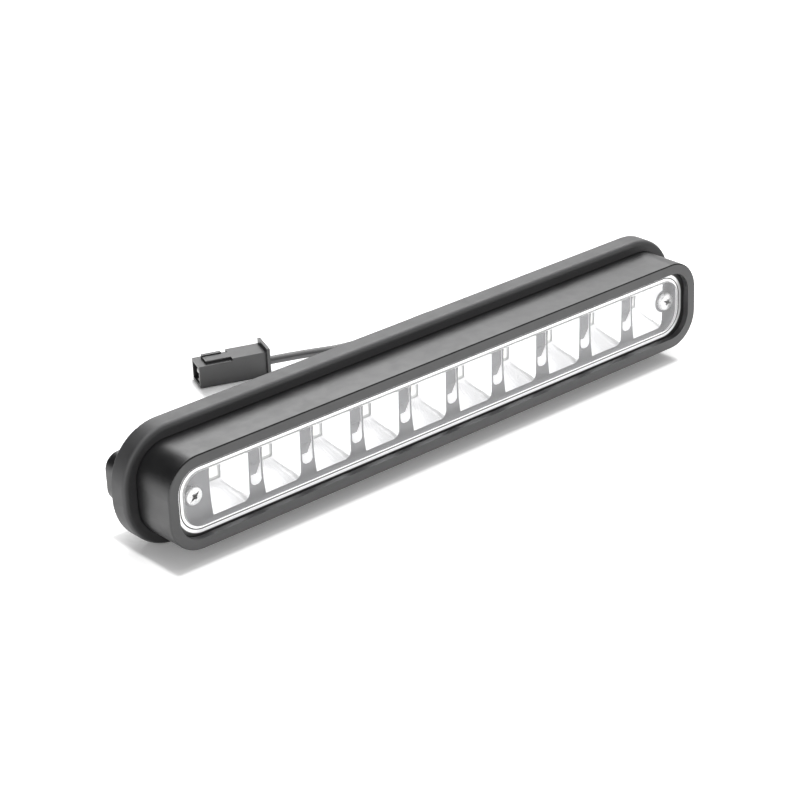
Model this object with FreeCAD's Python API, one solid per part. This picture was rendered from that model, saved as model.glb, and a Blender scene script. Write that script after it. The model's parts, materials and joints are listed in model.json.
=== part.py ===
import FreeCAD, Part
import math
import os

# Side light bar: a long lamp with ten reflector cells behind one clear lens, made to sit against
# a panel on a thick rubber gasket. Millimetres, X along the lamp, Y from front to back, Z up.
# The origin is the middle of the gasket's rear face, which is the face that meets the panel.

# Body
body_length = 289.5
body_height = 40.0
body_corner = 14.8
body_reach = 30.0
body_wall = 2.6
rim_width = 4.6
rim_thickness = 2.5
rim_edge_round = 0.7

# Lens
lens_seal_thickness = 0.8
lens_flange_thickness = 2.0
lens_rise = 1.0
lens_edge_round = 0.5
lens_panel_inset_x = 4.0
lens_panel_inset_z = 3.6
lens_panel_corner = 8.6
lens_clearance = 0.2
seal_inset = 0.4

# Reflector: as many cells as fit between the rooms kept at the two ends
cell_end_room = 12.0
cell_pitch = 25.82
cell_width = 18.5
cell_height = 23.8
cell_offset_x = 5.0
cell_rear_opening = 8.4
web_drop = 3.1
web_thickness = 2.0
cup_wall = 1.3
reflector_rim = 2.6
reflector_clearance = 0.3
recess_width = 5.2
recess_bottom = -6.6
recess_top = 12.4
recess_floor = 0.4
recess_depth = 3.2
recess_ramp_start = 2.0
recess_ramp_end = -3.9
recess_corner = 2.2
recess_shift_x = 0.2
recess_wall = 1.2
cup_sections = 5

# Mouth of one cell as shares of its half width and half height: bowed on the left, square at the
# lower left, wider towards its upper right, rounded elsewhere. The list starts with the lower
# edge and goes round to the left side.
cell_mouth = [
    (-0.91, -1.00), (0.66, -1.00), (0.92, -0.92), (1.02, -0.73), (1.08, 0.83), (1.02, 0.96),
    (0.86, 1.00), (-0.46, 1.00), (-0.84, 0.85), (-0.98, 0.56), (-1.00, -0.10),
]

# Reflector screws
screw_end_inset = 11.65
screw_offset_x = 1.2
screw_height = 0.4
screw_radius = 2.0
screw_head_radius = 4.0
screw_head_height = 2.4
screw_head_round = 1.3
screw_slot_reach = 2.2
screw_slot_width = 1.0
screw_slot_depth = 1.3
screw_slot_turn = 35.0
screw_boss_radius = 5.2
screw_grip = 4.5

# Light board
board_end_inset = 3.15
board_clearance = 0.6
board_corner = 3.0
board_thickness = 1.6
board_gap = 0.3
led_size = 5.0
led_base = 0.7
led_dome_radius = 2.0
led_dome_height = 1.3
pad_thickness = 0.5

# Heat sink with the rear spine
plate_thickness = 6.0
spine_height = 21.0
spine_corner = 6.5
spine_depth = 12.0
spine_edge_round = 0.8
pocket_length = 148.0
pocket_height = 12.6
pocket_corner = 2.5
pocket_floor = 3.0
body_boss_radius = 3.5
body_boss_inset = 3.0
body_boss_length = 8.0
body_boss_web_count = 4
body_screw_radius = 1.5
body_screw_head_radius = 2.75
body_screw_head_height = 2.0
body_screw_bite = 6.0
body_screw_spare = 1.0
thread_clearance = 0.05

# Gasket
gasket_overhang_x = 5.85
gasket_overhang_z = 5.5
gasket_corner_growth = 8.0
gasket_thickness = 9.4
gasket_lip = 2.0
gasket_front_round = 2.1
gasket_rear_round = 0.9
gasket_clearance = 0.2

# Studs
stud_end_inset = 44.75
stud_radius = 3.0
stud_length = 18.0
stud_root_radius = 3.5
stud_root_rise = 0.6
stud_bite = 8.0
stud_chamfer = 0.8

# Driver lid
lid_ledge_x = 6.0
lid_ledge_z = 2.2
lid_corner = 4.0
lid_thickness = 2.0
lid_seal_thickness = 0.6
lid_clearance = 0.2
lid_screw_radius = 1.25
lid_screw_head_radius = 2.25
lid_screw_head_height = 1.4
lid_screw_bite = 4.0
lid_screw_spread = 10.0

# Driver
driver_gap_x = 2.0
driver_gap_z = 0.3
driver_thickness = 1.6
driver_sheet = 0.8
choke_radius = 4.5
choke_waist_radius = 3.7
choke_height = 5.0
choke_cheek = 1.0
choke_x = 18.0
capacitor_count = 3
capacitor_radius = 3.0
capacitor_height = 6.2
capacitor_round = 0.4
capacitor_x = -8.0
capacitor_pitch = 9.0
chip_length = 6.0
chip_width = 5.0
chip_height = 1.5
chip_x = 36.0
feed_web_count = -2
feed_radius = 0.5
feed_pitch = 2.4
sleeve_radius = 2.5

# Vent plug
vent_x = -40.0
vent_radius = 4.0
vent_rise = 2.4
vent_edge_round = 0.8
vent_stem_radius = 2.5
vent_stem_reach = 3.0

# Cable gland
gland_end_inset = 12.0
gland_stem_radius = 4.0
gland_stem_reach = 5.5
gland_hex = 11.0
gland_hex_length = 3.5
gland_nut_radius = 5.2
gland_nut_length = 8.5
gland_nut_barrel = 5.1
gland_nut_tip_radius = 3.6
gland_lock_clearance = 0.5
gland_lock_thickness = 2.0
wire_radius = 0.6
wire_pitch = 1.8

# Lead: the middle line of the cable from its straight start at the gland to the connector. Each
# bend takes up the same share of the shorter run beside it.
lead_diameter = 3.8
lead_bend_share = 0.45
lead_start = 12.5
lead_points = [
    (61.0, 50.0, -5.2),
    (55.5, 62.0, -12.2),
    (44.5, 71.0, -18.2),
    (29.3, 78.0, -21.0),
    (13.2, 85.34, -20.6),
    (-4.0, 91.60, -20.6),
]

# Connector
connector_angle = -20.0
connector_front = 15.5
connector_rear = 15.6
connector_width = 11.3
connector_height = 10.2
connector_step = 0.4
connector_wall = 1.2
flange_thickness = 1.4
flange_near = 1.6
flange_far = 1.0
flange_top = 2.0
guide_height = 1.2
guide_near = 2.4
guide_width = 5.4
guide_start = 3.7
latch_width = 1.9
latch_height = 0.5
latch_length = 9.0
mouth_depth = 13.0
blade_length = 11.8
blade_width = 2.8
blade_thickness = 0.8
blade_pitch = 5.0

# Levels along Y that follow from the sizes above
face_y = -body_reach
rim_rear_y = face_y + rim_thickness
flange_front_y = rim_rear_y + lens_seal_thickness
lens_rear_y = flange_front_y + lens_flange_thickness
web_y = lens_rear_y + web_drop
body_rear_y = -gasket_lip
plate_front_y = body_rear_y - plate_thickness
pad_front_y = plate_front_y - pad_thickness
board_front_y = pad_front_y - board_thickness
cup_rear_y = board_front_y - board_gap
lid_seat_y = spine_depth - lid_thickness - lid_seal_thickness
lid_front_y = spine_depth - lid_thickness
pocket_floor_y = body_rear_y - plate_thickness + pocket_floor
driver_front_y = pocket_floor_y + driver_sheet
driver_rear_y = driver_front_y + driver_thickness
gland_mouth_y = spine_depth + gland_hex_length + gland_nut_length

# Sizes that follow from the sizes above
gasket_length = body_length + 2 * gasket_overhang_x
gasket_height = body_height + 2 * gasket_overhang_z
gasket_corner = body_corner + gasket_corner_growth
floor_z = -gasket_height / 2
cavity_length = body_length - 2 * body_wall
cavity_height = body_height - 2 * body_wall
cavity_corner = body_corner - body_wall
cell_count = int((cavity_length - 2 * cell_end_room) / cell_pitch)
cell_rear_scale_x = cell_rear_opening / cell_width
cell_rear_scale_z = cell_rear_opening / cell_height
body_boss_height = cavity_height / 2 - body_boss_inset
board_length = cavity_length - 2 * board_end_inset
board_height = 2 * (body_boss_height - body_boss_radius - board_clearance)
screw_spacing = cavity_length - 2 * screw_end_inset
stud_spacing = body_length - 2 * stud_end_inset
lid_length = pocket_length + 2 * lid_ledge_x
lid_height = pocket_height + 2 * lid_ledge_z
driver_length = pocket_length - 2 * driver_gap_x
driver_height = pocket_height - 2 * driver_gap_z
gland_x = pocket_length / 2 - gland_end_inset
gland_lock_radius = pocket_height / 2 - gland_lock_clearance
lead_route = [(gland_x, gland_mouth_y, 0.0), (gland_x, gland_mouth_y + lead_start, 0.0)]
lead_route += lead_points

# How close two places are taken as the same, and how far a cutting block starts before a surface
same_place = 1e-4
cut_start = 0.5


def vec(x, y, z):
    return FreeCAD.Vector(x, y, z)


def outline(length, height, corner, y, x=0.0, z=0.0):
    """Closed rounded rectangle that lies across the depth of the lamp."""
    a = length / 2 - corner
    b = height / 2 - corner
    centres = [(a, b, 0), (-a, b, 90), (-a, -b, 180), (a, -b, 270)]
    arcs = []
    for cx, cz, start in centres:
        points = []
        for turn in (0, 45, 90):
            angle = math.radians(start + turn)
            px = x + cx + corner * math.cos(angle)
            pz = z + cz + corner * math.sin(angle)
            points.append(vec(px, y, pz))
        arcs.append(points)
    edges = []
    for index, points in enumerate(arcs):
        edges.append(Part.Arc(*points).toShape())
        following = arcs[(index + 1) % 4][0]
        if points[2].distanceToPoint(following) > same_place:
            edges.append(Part.LineSegment(points[2], following).toShape())
    return Part.Wire(edges)


def slab(length, height, corner, front_y, rear_y, x=0.0, z=0.0):
    """Rounded-rectangle block between two depths."""
    face = Part.Face(outline(length, height, corner, front_y, x, z))
    return face.extrude(vec(0, rear_y - front_y, 0))


def rod(radius, front_y, rear_y, x=0.0, z=0.0):
    """Round bar that runs along Y."""
    return Part.makeCylinder(radius, rear_y - front_y, vec(x, front_y, z), vec(0, 1, 0))


def block(low, high):
    size = [high[i] - low[i] for i in range(3)]
    return Part.makeBox(size[0], size[1], size[2], vec(*low))


def edges_at(shape, y, ring):
    """Edges that lie at one depth on the rounded rectangle of the given length, height, corner."""
    found = []
    for edge in shape.Edges:
        box = edge.BoundBox
        flat = abs(box.YMin - y) < same_place and abs(box.YMax - y) < same_place
        if flat and on_ring(edge, ring):
            found.append(edge)
    return found


def on_ring(edge, ring):
    """True where the middle of an edge lies on the rounded rectangle."""
    length, height, corner = ring
    middle = edge.valueAt((edge.FirstParameter + edge.LastParameter) / 2)
    dx = max(abs(middle.x) - (length / 2 - corner), 0.0)
    dz = max(abs(middle.z) - (height / 2 - corner), 0.0)
    if dx > 0 and dz > 0:
        return abs(math.hypot(dx, dz) - corner) < same_place
    return abs(max(dx, dz) - corner) < same_place


def cell_centre(index):
    return cell_offset_x + (index - (cell_count - 1) / 2) * cell_pitch


def web_centre(step):
    """Middle of a web, counted from the one nearest the middle of the cells."""
    return cell_offset_x + (step + (cell_count % 2) / 2) * cell_pitch


def body_screw_places():
    places = []
    for step in (-body_boss_web_count, 0, body_boss_web_count):
        for side in (-1, 1):
            places.append((web_centre(step), side * body_boss_height))
    return places


def reflector_screw_places():
    return [screw_offset_x - screw_spacing / 2, screw_offset_x + screw_spacing / 2]


def lid_screw_places():
    ends = (lid_length + pocket_length) / 4
    spread = lid_screw_spread / 2
    return [(sx * ends, sz * spread) for sx in (-1, 1) for sz in (-1, 1)]


def make_housing():
    """Cast body: a deep rounded frame with a narrow rim in front and six screw bosses inside."""
    outer = (body_length, body_height, body_corner)
    opening = (body_length - 2 * rim_width, body_height - 2 * rim_width, body_corner - rim_width)
    shell = slab(*outer, face_y, body_rear_y)
    shell = shell.cut(slab(cavity_length, cavity_height, cavity_corner, rim_rear_y, body_rear_y))
    shell = shell.cut(slab(*opening, face_y, rim_rear_y))
    shell = shell.makeFillet(rim_edge_round, edges_at(shell, face_y, outer))
    boss_front = plate_front_y - body_boss_length
    for x, z in body_screw_places():
        shell = shell.fuse(rod(body_boss_radius, boss_front, plate_front_y, x, z))
    hole = body_screw_radius + thread_clearance
    hole_front = plate_front_y - body_screw_bite - body_screw_spare
    for x, z in body_screw_places():
        shell = shell.cut(rod(hole, hole_front, plate_front_y, x, z))
    return shell.removeSplitter()


def make_lens():
    """Clear lens: a flange held behind the rim and a raised middle panel."""
    length = cavity_length - 2 * lens_clearance
    height = cavity_height - 2 * lens_clearance
    flange = slab(length, height, cavity_corner - lens_clearance, flange_front_y, lens_rear_y)
    panel_length = body_length - 2 * rim_width - 2 * lens_panel_inset_x
    panel_height = body_height - 2 * rim_width - 2 * lens_panel_inset_z
    panel_front = flange_front_y - lens_rise
    panel = slab(panel_length, panel_height, lens_panel_corner, panel_front, flange_front_y)
    lens = flange.fuse(panel).removeSplitter()
    ring = (panel_length, panel_height, lens_panel_corner)
    return lens.makeFillet(lens_edge_round, edges_at(lens, panel_front, ring))


def make_lens_seal():
    """Bead of sealant between the rim and the lens flange."""
    length = cavity_length - 2 * seal_inset
    height = cavity_height - 2 * seal_inset
    ring = slab(length, height, cavity_corner - seal_inset, rim_rear_y, flange_front_y)
    inner_length = body_length - 2 * rim_width + 2 * seal_inset
    inner_height = body_height - 2 * rim_width + 2 * seal_inset
    inner_corner = body_corner - rim_width + seal_inset
    return ring.cut(slab(inner_length, inner_height, inner_corner, rim_rear_y, flange_front_y))


def cell_wire(scale_x, scale_z, grow, x, y):
    """Outline of one cell at one depth, shrunk by two scales and grown by a wall."""
    half = scale_x * cell_width / 2
    top = scale_z * cell_height / 2
    points = []
    for share_x, share_z in cell_mouth:
        wide = math.copysign(grow, share_x)
        tall = math.copysign(grow, share_z)
        points.append(vec(x + share_x * half + wide, y, share_z * top + tall))
    edges = [
        Part.LineSegment(points[0], points[1]).toShape(),
        Part.Arc(points[1], points[2], points[3]).toShape(),
        Part.LineSegment(points[3], points[4]).toShape(),
        Part.Arc(points[4], points[5], points[6]).toShape(),
        Part.LineSegment(points[6], points[7]).toShape(),
        Part.Arc(points[7], points[8], points[9]).toShape(),
        Part.Arc(points[9], points[10], points[0]).toShape(),
    ]
    return Part.Wire(edges)


def cup(x, grow, front_y, rear_y):
    """Bowl of one cell, following a parabola from its rear opening to its mouth."""
    depth = cup_rear_y - web_y
    wires = []
    for step in range(cup_sections):
        y = front_y + (rear_y - front_y) * step / (cup_sections - 1)
        share = min(max((cup_rear_y - y) / depth, 0.0), 1.0)
        scale_x = math.sqrt(cell_rear_scale_x ** 2 + (1 - cell_rear_scale_x ** 2) * share)
        scale_z = math.sqrt(cell_rear_scale_z ** 2 + (1 - cell_rear_scale_z ** 2) * share)
        wires.append(cell_wire(scale_x, scale_z, grow, x, y))
    return Part.makeLoft(wires, True, False)


def web_recess(x):
    """U-shaped pocket in a web, open at the top, with a floor that dips towards its lower end."""
    left = x - recess_width / 2
    front = web_y - cut_start
    profile = [
        (front, recess_top), (web_y + recess_floor, recess_top),
        (web_y + recess_floor, recess_ramp_start), (web_y + recess_depth, recess_ramp_end),
        (web_y, recess_bottom), (front, recess_bottom),
    ]
    points = [vec(left, y, z) for y, z in profile]
    wedge = Part.Face(Part.makePolygon(points + points[:1])).extrude(vec(recess_width, 0, 0))
    tall = recess_top + recess_corner - recess_bottom
    middle = (recess_top + recess_corner + recess_bottom) / 2
    plan = slab(recess_width, tall, recess_corner, front, web_y + recess_depth, x, middle)
    return wedge.common(plan)


def make_reflector():
    """Metallised moulding: rim, flat webs, ten bowls and two screw bosses."""
    length = cavity_length - 2 * reflector_clearance
    height = cavity_height - 2 * reflector_clearance
    corner = cavity_corner - reflector_clearance
    rim_front = lens_rear_y + reflector_clearance
    tray = slab(length, height, corner, rim_front, web_y + web_thickness)
    inner = (length - 2 * reflector_rim, height - 2 * reflector_rim, corner - reflector_rim)
    tray = tray.cut(slab(*inner, rim_front, web_y))
    solids = []
    for index in range(cell_count):
        solids.append(cup(cell_centre(index), cup_wall, web_y, cup_rear_y))
    recesses = [cell_centre(i) + cell_pitch / 2 + recess_shift_x for i in range(cell_count - 1)]
    for x in recesses:
        half = recess_width / 2 + recess_wall
        low = (x - half, web_y, recess_bottom - recess_wall)
        high = (x + half, web_y + recess_depth + recess_wall, recess_ramp_start)
        solids.append(block(low, high))
    tray = tray.multiFuse(solids)
    cuts = [cup(cell_centre(index), 0.0, web_y, cup_rear_y) for index in range(cell_count)]
    cuts += [web_recess(x) for x in recesses]
    for cutter in cuts:
        tray = tray.cut(cutter)
    for x in reflector_screw_places():
        tray = tray.fuse(rod(screw_boss_radius, web_y, board_front_y, x, screw_height))
    for x in reflector_screw_places():
        hole = screw_radius + reflector_clearance
        tray = tray.cut(rod(hole, web_y, board_front_y, x, screw_height))
    return tray


def cross_slots(x, y, z):
    """Crossed driving slots sunk into a screw head from its front."""
    reach = screw_slot_reach
    half = screw_slot_width / 2
    depth = screw_slot_depth
    flat = block((x - reach, y, z - half), (x + reach, y + depth, z + half))
    upright = block((x - half, y, z - reach), (x + half, y + depth, z + reach))
    return flat.fuse(upright)


def make_reflector_screw(x):
    """Pan-head screw that holds the reflector and the light board to the heat sink."""
    front = web_y - screw_head_height
    head = rod(screw_head_radius, front, web_y, x, screw_height)
    rounded = [edge for edge in head.Edges if edge.BoundBox.YMax < front + same_place]
    head = head.makeFillet(screw_head_round, rounded)
    shank = rod(screw_radius, web_y, plate_front_y + screw_grip, x, screw_height)
    screw = head.fuse(shank)
    slots = cross_slots(x, front, screw_height)
    slots.rotate(vec(x, front, screw_height), vec(0, 1, 0), screw_slot_turn)
    return screw.cut(slots)


def make_led_board():
    board = slab(board_length, board_height, board_corner, board_front_y, pad_front_y)
    for x in reflector_screw_places():
        hole = screw_radius + reflector_clearance
        board = board.cut(rod(hole, board_front_y, pad_front_y, x, screw_height))
    return board


def make_led(index):
    """One emitter: a square package with a low dome."""
    x = cell_centre(index)
    half = led_size / 2
    front = board_front_y - led_base
    package = block((x - half, front, -half), (x + half, board_front_y, half))
    cap = led_dome_height
    sphere = (led_dome_radius ** 2 + cap ** 2) / (2 * cap)
    ball = Part.makeSphere(sphere, vec(x, front - cap + sphere, 0))
    window = block((x - half, front - cap, -half), (x + half, front, half))
    return package.fuse(ball.common(window))


def make_thermal_pad():
    pad = slab(board_length, board_height, board_corner, pad_front_y, plate_front_y)
    for x in reflector_screw_places():
        hole = screw_radius + reflector_clearance
        pad = pad.cut(rod(hole, pad_front_y, plate_front_y, x, screw_height))
    sleeve = sleeve_radius + thread_clearance
    return pad.cut(rod(sleeve, pad_front_y, plate_front_y, web_centre(feed_web_count)))


def make_heat_sink():
    """Rear casting: a plate that closes the body and a long spine that holds the driver."""
    length = cavity_length - 2 * lens_clearance
    height = cavity_height - 2 * lens_clearance
    corner = cavity_corner - lens_clearance
    plate = slab(length, height, corner, plate_front_y, body_rear_y)
    outer = (body_length, spine_height, spine_corner)
    spine = slab(*outer, body_rear_y, spine_depth)
    spine = spine.makeFillet(spine_edge_round, edges_at(spine, spine_depth, outer))
    sink = plate.fuse(spine)
    sink = sink.cut(slab(pocket_length, pocket_height, pocket_corner, pocket_floor_y, spine_depth))
    seat_length = lid_length + 2 * lid_clearance
    seat_height = lid_height + 2 * lid_clearance
    seat_corner = lid_corner + lid_clearance
    sink = sink.cut(slab(seat_length, seat_height, seat_corner, lid_seat_y, spine_depth))
    holes = []
    for x in reflector_screw_places():
        radius = screw_radius + thread_clearance
        holes.append(rod(radius, plate_front_y, plate_front_y + screw_grip, x, screw_height))
    for x, z in body_screw_places():
        holes.append(rod(body_screw_radius + lens_clearance, plate_front_y, body_rear_y, x, z))
        seat = body_rear_y - body_screw_head_height
        holes.append(rod(body_screw_head_radius + lens_clearance, seat, body_rear_y, x, z))
    for side in (-1, 1):
        x = side * stud_spacing / 2
        radius = stud_root_radius + thread_clearance
        holes.append(rod(radius, spine_depth - stud_bite, spine_depth, x))
    for x, z in lid_screw_places():
        radius = lid_screw_radius + thread_clearance
        holes.append(rod(radius, lid_seat_y - lid_screw_bite, lid_seat_y, x, z))
    sleeve = sleeve_radius + thread_clearance
    holes.append(rod(sleeve, plate_front_y, pocket_floor_y, web_centre(feed_web_count)))
    for hole in holes:
        sink = sink.cut(hole)
    return sink.removeSplitter()


def make_housing_screws():
    """Six screws that pull the heat sink against the bosses of the body."""
    seat = body_rear_y - body_screw_head_height
    screws = []
    for x, z in body_screw_places():
        head = rod(body_screw_head_radius, seat, body_rear_y, x, z)
        shank = rod(body_screw_radius, plate_front_y - body_screw_bite, seat, x, z)
        screws.append(head.fuse(shank).removeSplitter())
    return Part.makeCompound(screws)


def make_gasket():
    """Thick rubber ring round the rear of the body, with a lip behind the body's edge."""
    outer = (gasket_length, gasket_height, gasket_corner)
    ring = slab(*outer, -gasket_thickness, 0)
    ring = ring.makeFillet(gasket_front_round, edges_at(ring, -gasket_thickness, outer))
    ring = ring.makeFillet(gasket_rear_round, edges_at(ring, 0, outer))
    seat_length = body_length + 2 * gasket_clearance
    seat_height = body_height + 2 * gasket_clearance
    seat_corner = body_corner + gasket_clearance
    ring = ring.cut(slab(seat_length, seat_height, seat_corner, -gasket_thickness, body_rear_y))
    slot_height = spine_height + 2 * gasket_clearance
    slot_corner = spine_corner + gasket_clearance
    return ring.cut(slab(seat_length, slot_height, slot_corner, body_rear_y, 0))


def make_stud(side):
    """Stud whose thicker root is screwed into the spine and ends just above its face."""
    x = side * stud_spacing / 2
    end = spine_depth + stud_length
    shoulder = spine_depth + stud_root_rise
    stud = rod(stud_radius, shoulder, end, x)
    tip = [edge for edge in stud.Edges if edge.BoundBox.YMin > end - same_place]
    stud = stud.makeChamfer(stud_chamfer, tip)
    return stud.fuse(rod(stud_root_radius, spine_depth - stud_bite, shoulder, x))


def make_driver_lid():
    """Flush cover over the driver pocket, with holes for the gland, the vent and its screws."""
    lid = slab(lid_length, lid_height, lid_corner, lid_front_y, spine_depth)
    lid = lid.cut(rod(gland_stem_radius + lid_clearance, lid_front_y, spine_depth, gland_x))
    lid = lid.cut(rod(vent_stem_radius + lid_clearance, lid_front_y, spine_depth, vent_x))
    for x, z in lid_screw_places():
        lid = lid.cut(rod(lid_screw_radius + lid_clearance, lid_front_y, spine_depth, x, z))
    return lid


def make_lid_seal():
    seal = slab(lid_length, lid_height, lid_corner, lid_seat_y, lid_front_y)
    seal = seal.cut(slab(pocket_length, pocket_height, pocket_corner, lid_seat_y, lid_front_y))
    for x, z in lid_screw_places():
        seal = seal.cut(rod(lid_screw_radius + lid_clearance, lid_seat_y, lid_front_y, x, z))
    return seal


def make_lid_screws():
    screws = []
    for x, z in lid_screw_places():
        top = spine_depth + lid_screw_head_height
        head = rod(lid_screw_head_radius, spine_depth, top, x, z)
        shank = rod(lid_screw_radius, lid_seat_y - lid_screw_bite, spine_depth, x, z)
        screws.append(head.fuse(shank).removeSplitter())
    return Part.makeCompound(screws)


def make_driver_sheet():
    """Insulating sheet under the driver board."""
    sheet = slab(driver_length, driver_height, pocket_corner, pocket_floor_y, driver_front_y)
    sleeve = sleeve_radius + lid_clearance
    return sheet.cut(rod(sleeve, pocket_floor_y, driver_front_y, web_centre(feed_web_count)))


def make_driver_board():
    return slab(driver_length, driver_height, pocket_corner, driver_front_y, driver_rear_y)


def make_choke():
    """Drum-shaped choke with a waist."""
    top = driver_rear_y + choke_height
    drum = rod(choke_radius, driver_rear_y, top, choke_x)
    waist = rod(choke_waist_radius, driver_rear_y, top, choke_x)
    groove = rod(choke_radius, driver_rear_y + choke_cheek, top - choke_cheek, choke_x)
    return drum.cut(groove.cut(waist))


def make_capacitor(index):
    x = capacitor_x - index * capacitor_pitch
    top = driver_rear_y + capacitor_height
    can = rod(capacitor_radius, driver_rear_y, top, x)
    rounded = [edge for edge in can.Edges if edge.BoundBox.YMin > top - same_place]
    return can.makeFillet(capacitor_round, rounded)


def make_driver_chip():
    low = (chip_x - chip_length / 2, driver_rear_y, -chip_width / 2)
    high = (chip_x + chip_length / 2, driver_rear_y + chip_height, chip_width / 2)
    return block(low, high)


def make_feed_sleeve():
    """Insulating sleeve that carries the two feed pins through the heat sink."""
    x = web_centre(feed_web_count)
    sleeve = rod(sleeve_radius, pad_front_y, driver_front_y, x)
    for side in (-1, 1):
        z = side * feed_pitch / 2
        sleeve = sleeve.cut(rod(feed_radius + thread_clearance, pad_front_y, driver_front_y, x, z))
    return sleeve


def make_feed_pin(side):
    z = side * feed_pitch / 2
    return rod(feed_radius, pad_front_y, driver_front_y, web_centre(feed_web_count), z)


def make_vent_plug():
    """Breather plug that snaps into the lid."""
    stem = rod(vent_stem_radius, lid_front_y - vent_stem_reach, spine_depth, vent_x)
    top = spine_depth + vent_rise
    cap = rod(vent_radius, spine_depth, top, vent_x)
    rounded = [edge for edge in cap.Edges if edge.BoundBox.YMin > top - same_place]
    return stem.fuse(cap.makeFillet(vent_edge_round, rounded))


def gland_bore(front_y, rear_y):
    return rod(lead_diameter / 2 + thread_clearance, front_y, rear_y, gland_x)


def make_gland_body():
    """Threaded stem and hexagon of the cable gland."""
    stem_front = spine_depth - gland_stem_reach
    stem = rod(gland_stem_radius, stem_front, spine_depth, gland_x)
    radius = gland_hex / math.sqrt(3)
    corners = []
    for step in range(7):
        angle = math.radians(60 * step)
        x = gland_x + radius * math.cos(angle)
        corners.append(vec(x, spine_depth, radius * math.sin(angle)))
    hexagon = Part.Face(Part.makePolygon(corners)).extrude(vec(0, gland_hex_length, 0))
    body = stem.fuse(hexagon)
    return body.cut(gland_bore(stem_front, spine_depth + gland_hex_length))


def make_gland_nut():
    """Domed clamping nut that the lead comes out of."""
    front = spine_depth + gland_hex_length
    shoulder = front + gland_nut_barrel
    nut = rod(gland_nut_radius, front, shoulder, gland_x)
    dome = Part.makeCone(
        gland_nut_radius, gland_nut_tip_radius, gland_nut_length - gland_nut_barrel,
        vec(gland_x, shoulder, 0), vec(0, 1, 0),
    )
    nut = nut.fuse(dome)
    return nut.cut(gland_bore(front, front + gland_nut_length))


def make_gland_lock_nut():
    rear = lid_front_y
    front = rear - gland_lock_thickness
    nut = rod(gland_lock_radius, front, rear, gland_x)
    return nut.cut(rod(gland_stem_radius + thread_clearance, front, rear, gland_x))


def make_gland_insert():
    """Moulded end of the lead inside the gland, flush with the gland's mouth."""
    front = spine_depth - gland_stem_reach
    return rod(lead_diameter / 2, front, gland_mouth_y, gland_x)


def make_lead_wire(side):
    """One core from the end of the lead down to the driver board."""
    z = side * wire_pitch / 2
    return rod(wire_radius, driver_rear_y, spine_depth - gland_stem_reach, gland_x, z)


def make_lead():
    """Cable as straight runs joined by tangent arcs, swept with a round section."""
    points = [vec(*point) for point in lead_route]
    edges = []
    start = points[0]
    length = 0.0
    for index in range(1, len(points) - 1):
        before = points[index - 1] - points[index]
        after = points[index + 1] - points[index]
        shorter = min(before.Length, after.Length)
        turn = math.pi - before.getAngle(after)
        cut_back = lead_bend_share * shorter
        radius = cut_back / math.tan(turn / 2)
        print("lead bend", index, "radius", round(radius, 1), "turn", round(math.degrees(turn), 1))
        into = points[index] + before.normalize() * cut_back
        out = points[index] + after.normalize() * cut_back
        inward = (before + after).normalize()
        middle = points[index] + inward * (radius / math.cos(turn / 2) - radius)
        edges.append(Part.LineSegment(start, into).toShape())
        edges.append(Part.Arc(into, middle, out).toShape())
        length += start.distanceToPoint(into) + radius * turn
        start = out
    edges.append(Part.LineSegment(start, points[-1]).toShape())
    length += start.distanceToPoint(points[-1])
    path = Part.Wire(edges)
    direction = points[1] - points[0]
    circle = Part.Circle(points[0], direction, lead_diameter / 2).toShape()
    tube = path.makePipeShell([Part.Wire([circle])], True, True)
    expected = math.pi * (lead_diameter / 2) ** 2 * length
    print("lead length", round(length, 1), "volume", round(tube.Volume, 1), "of", round(expected, 1))
    return tube


def place_connector(shape):
    """Moves a connector piece from its own axes to where it lies on the floor.

    In its own axes X runs from the open end to the lead, Y from the near side to the far side,
    and the lead leaves at the middle of the rear half.
    """
    turned = shape.copy()
    turned.rotate(vec(0, 0, 0), vec(0, 0, 1), connector_angle)
    end = vec(connector_tail(), connector_width / 2, 0)
    end = FreeCAD.Rotation(vec(0, 0, 1), connector_angle).multVec(end)
    x, y, z = lead_route[-1]
    turned.translate(vec(x - end.x, y - end.y, floor_z))
    return turned


def connector_tail():
    return connector_front + connector_rear + flange_thickness


def connector_middle():
    """Height of the lead over the floor where it enters the connector."""
    return lead_route[-1][2] - floor_z


def make_connector_shell():
    """Two-way connector housing with a guide and a latch rail on top and a flange at the rear."""
    top = connector_step + connector_height
    front = block((0, 0, connector_step), (connector_front, connector_width, top))
    low = (connector_front, 0, 0)
    high = (connector_front + connector_rear, connector_width, top + guide_height)
    rear = block(low, high)
    flange_low = (connector_front + connector_rear, -flange_near, 0)
    flange_high_x = connector_front + connector_rear + flange_thickness
    flange_high = (flange_high_x, connector_width + flange_far, top + guide_height + flange_top)
    flange = block(flange_low, flange_high)
    guide_far = guide_near + guide_width
    guide = block((guide_start, guide_near, top), (connector_front, guide_far, top + guide_height))
    latch_top = top + guide_height + latch_height
    latch_end = guide_start + latch_length
    latch = block((guide_start, guide_far, top), (latch_end, guide_far + latch_width, latch_top))
    shell = front.fuse([rear, flange, guide, latch]).removeSplitter()
    wall = connector_wall
    mouth_low = (0, wall, connector_step + wall)
    mouth_high = (mouth_depth, connector_width - wall, top - wall)
    shell = shell.cut(block(mouth_low, mouth_high))
    for level in blade_levels():
        shell = shell.cut(blade_block(level, mouth_depth, blade_root(), thread_clearance))
    return shell.cut(connector_bore(blade_root(), lead_diameter / 2 + thread_clearance))


def blade_levels():
    middle = connector_middle()
    return [middle - blade_pitch / 2, middle + blade_pitch / 2]


def blade_root():
    """Depth of the blades' fixed ends inside the connector."""
    return connector_front + connector_rear / 2


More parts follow.
